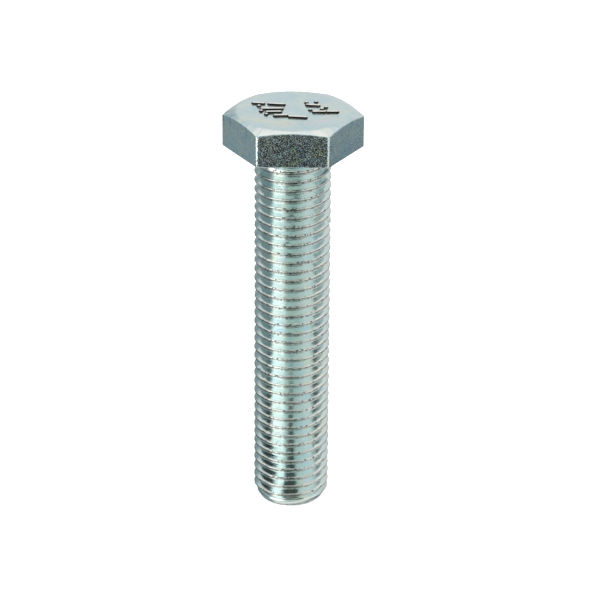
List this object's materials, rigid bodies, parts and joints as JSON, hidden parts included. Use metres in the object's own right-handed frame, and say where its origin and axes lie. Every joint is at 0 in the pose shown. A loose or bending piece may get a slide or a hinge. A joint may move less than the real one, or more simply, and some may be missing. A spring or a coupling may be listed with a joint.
{
  "type": "hex bolt",
  "caption": "Fully threaded hexagon head bolt in zinc-plated steel, with a chamfered head, a fine right-hand thread and a chamfered point.",
  "frame": {"origin": "centre of the bearing face, under the head", "axes": "+Z along the bolt's axis towards the top of the head; +X through an upright corner of the hexagon; +Y out of one of its flats"},
  "size_m": [0.0218, 0.019, 0.0663],
  "materials": {
    "head_zinc": "satin zinc plating on forged steel, blue passivated",
    "thread_zinc": "bright zinc plating on rolled steel thread, blue passivated"
  },
  "bodies": {
    "root": {"hex_head": "head_zinc", "threaded_shank": "thread_zinc"}
  },
  "joints": []
}
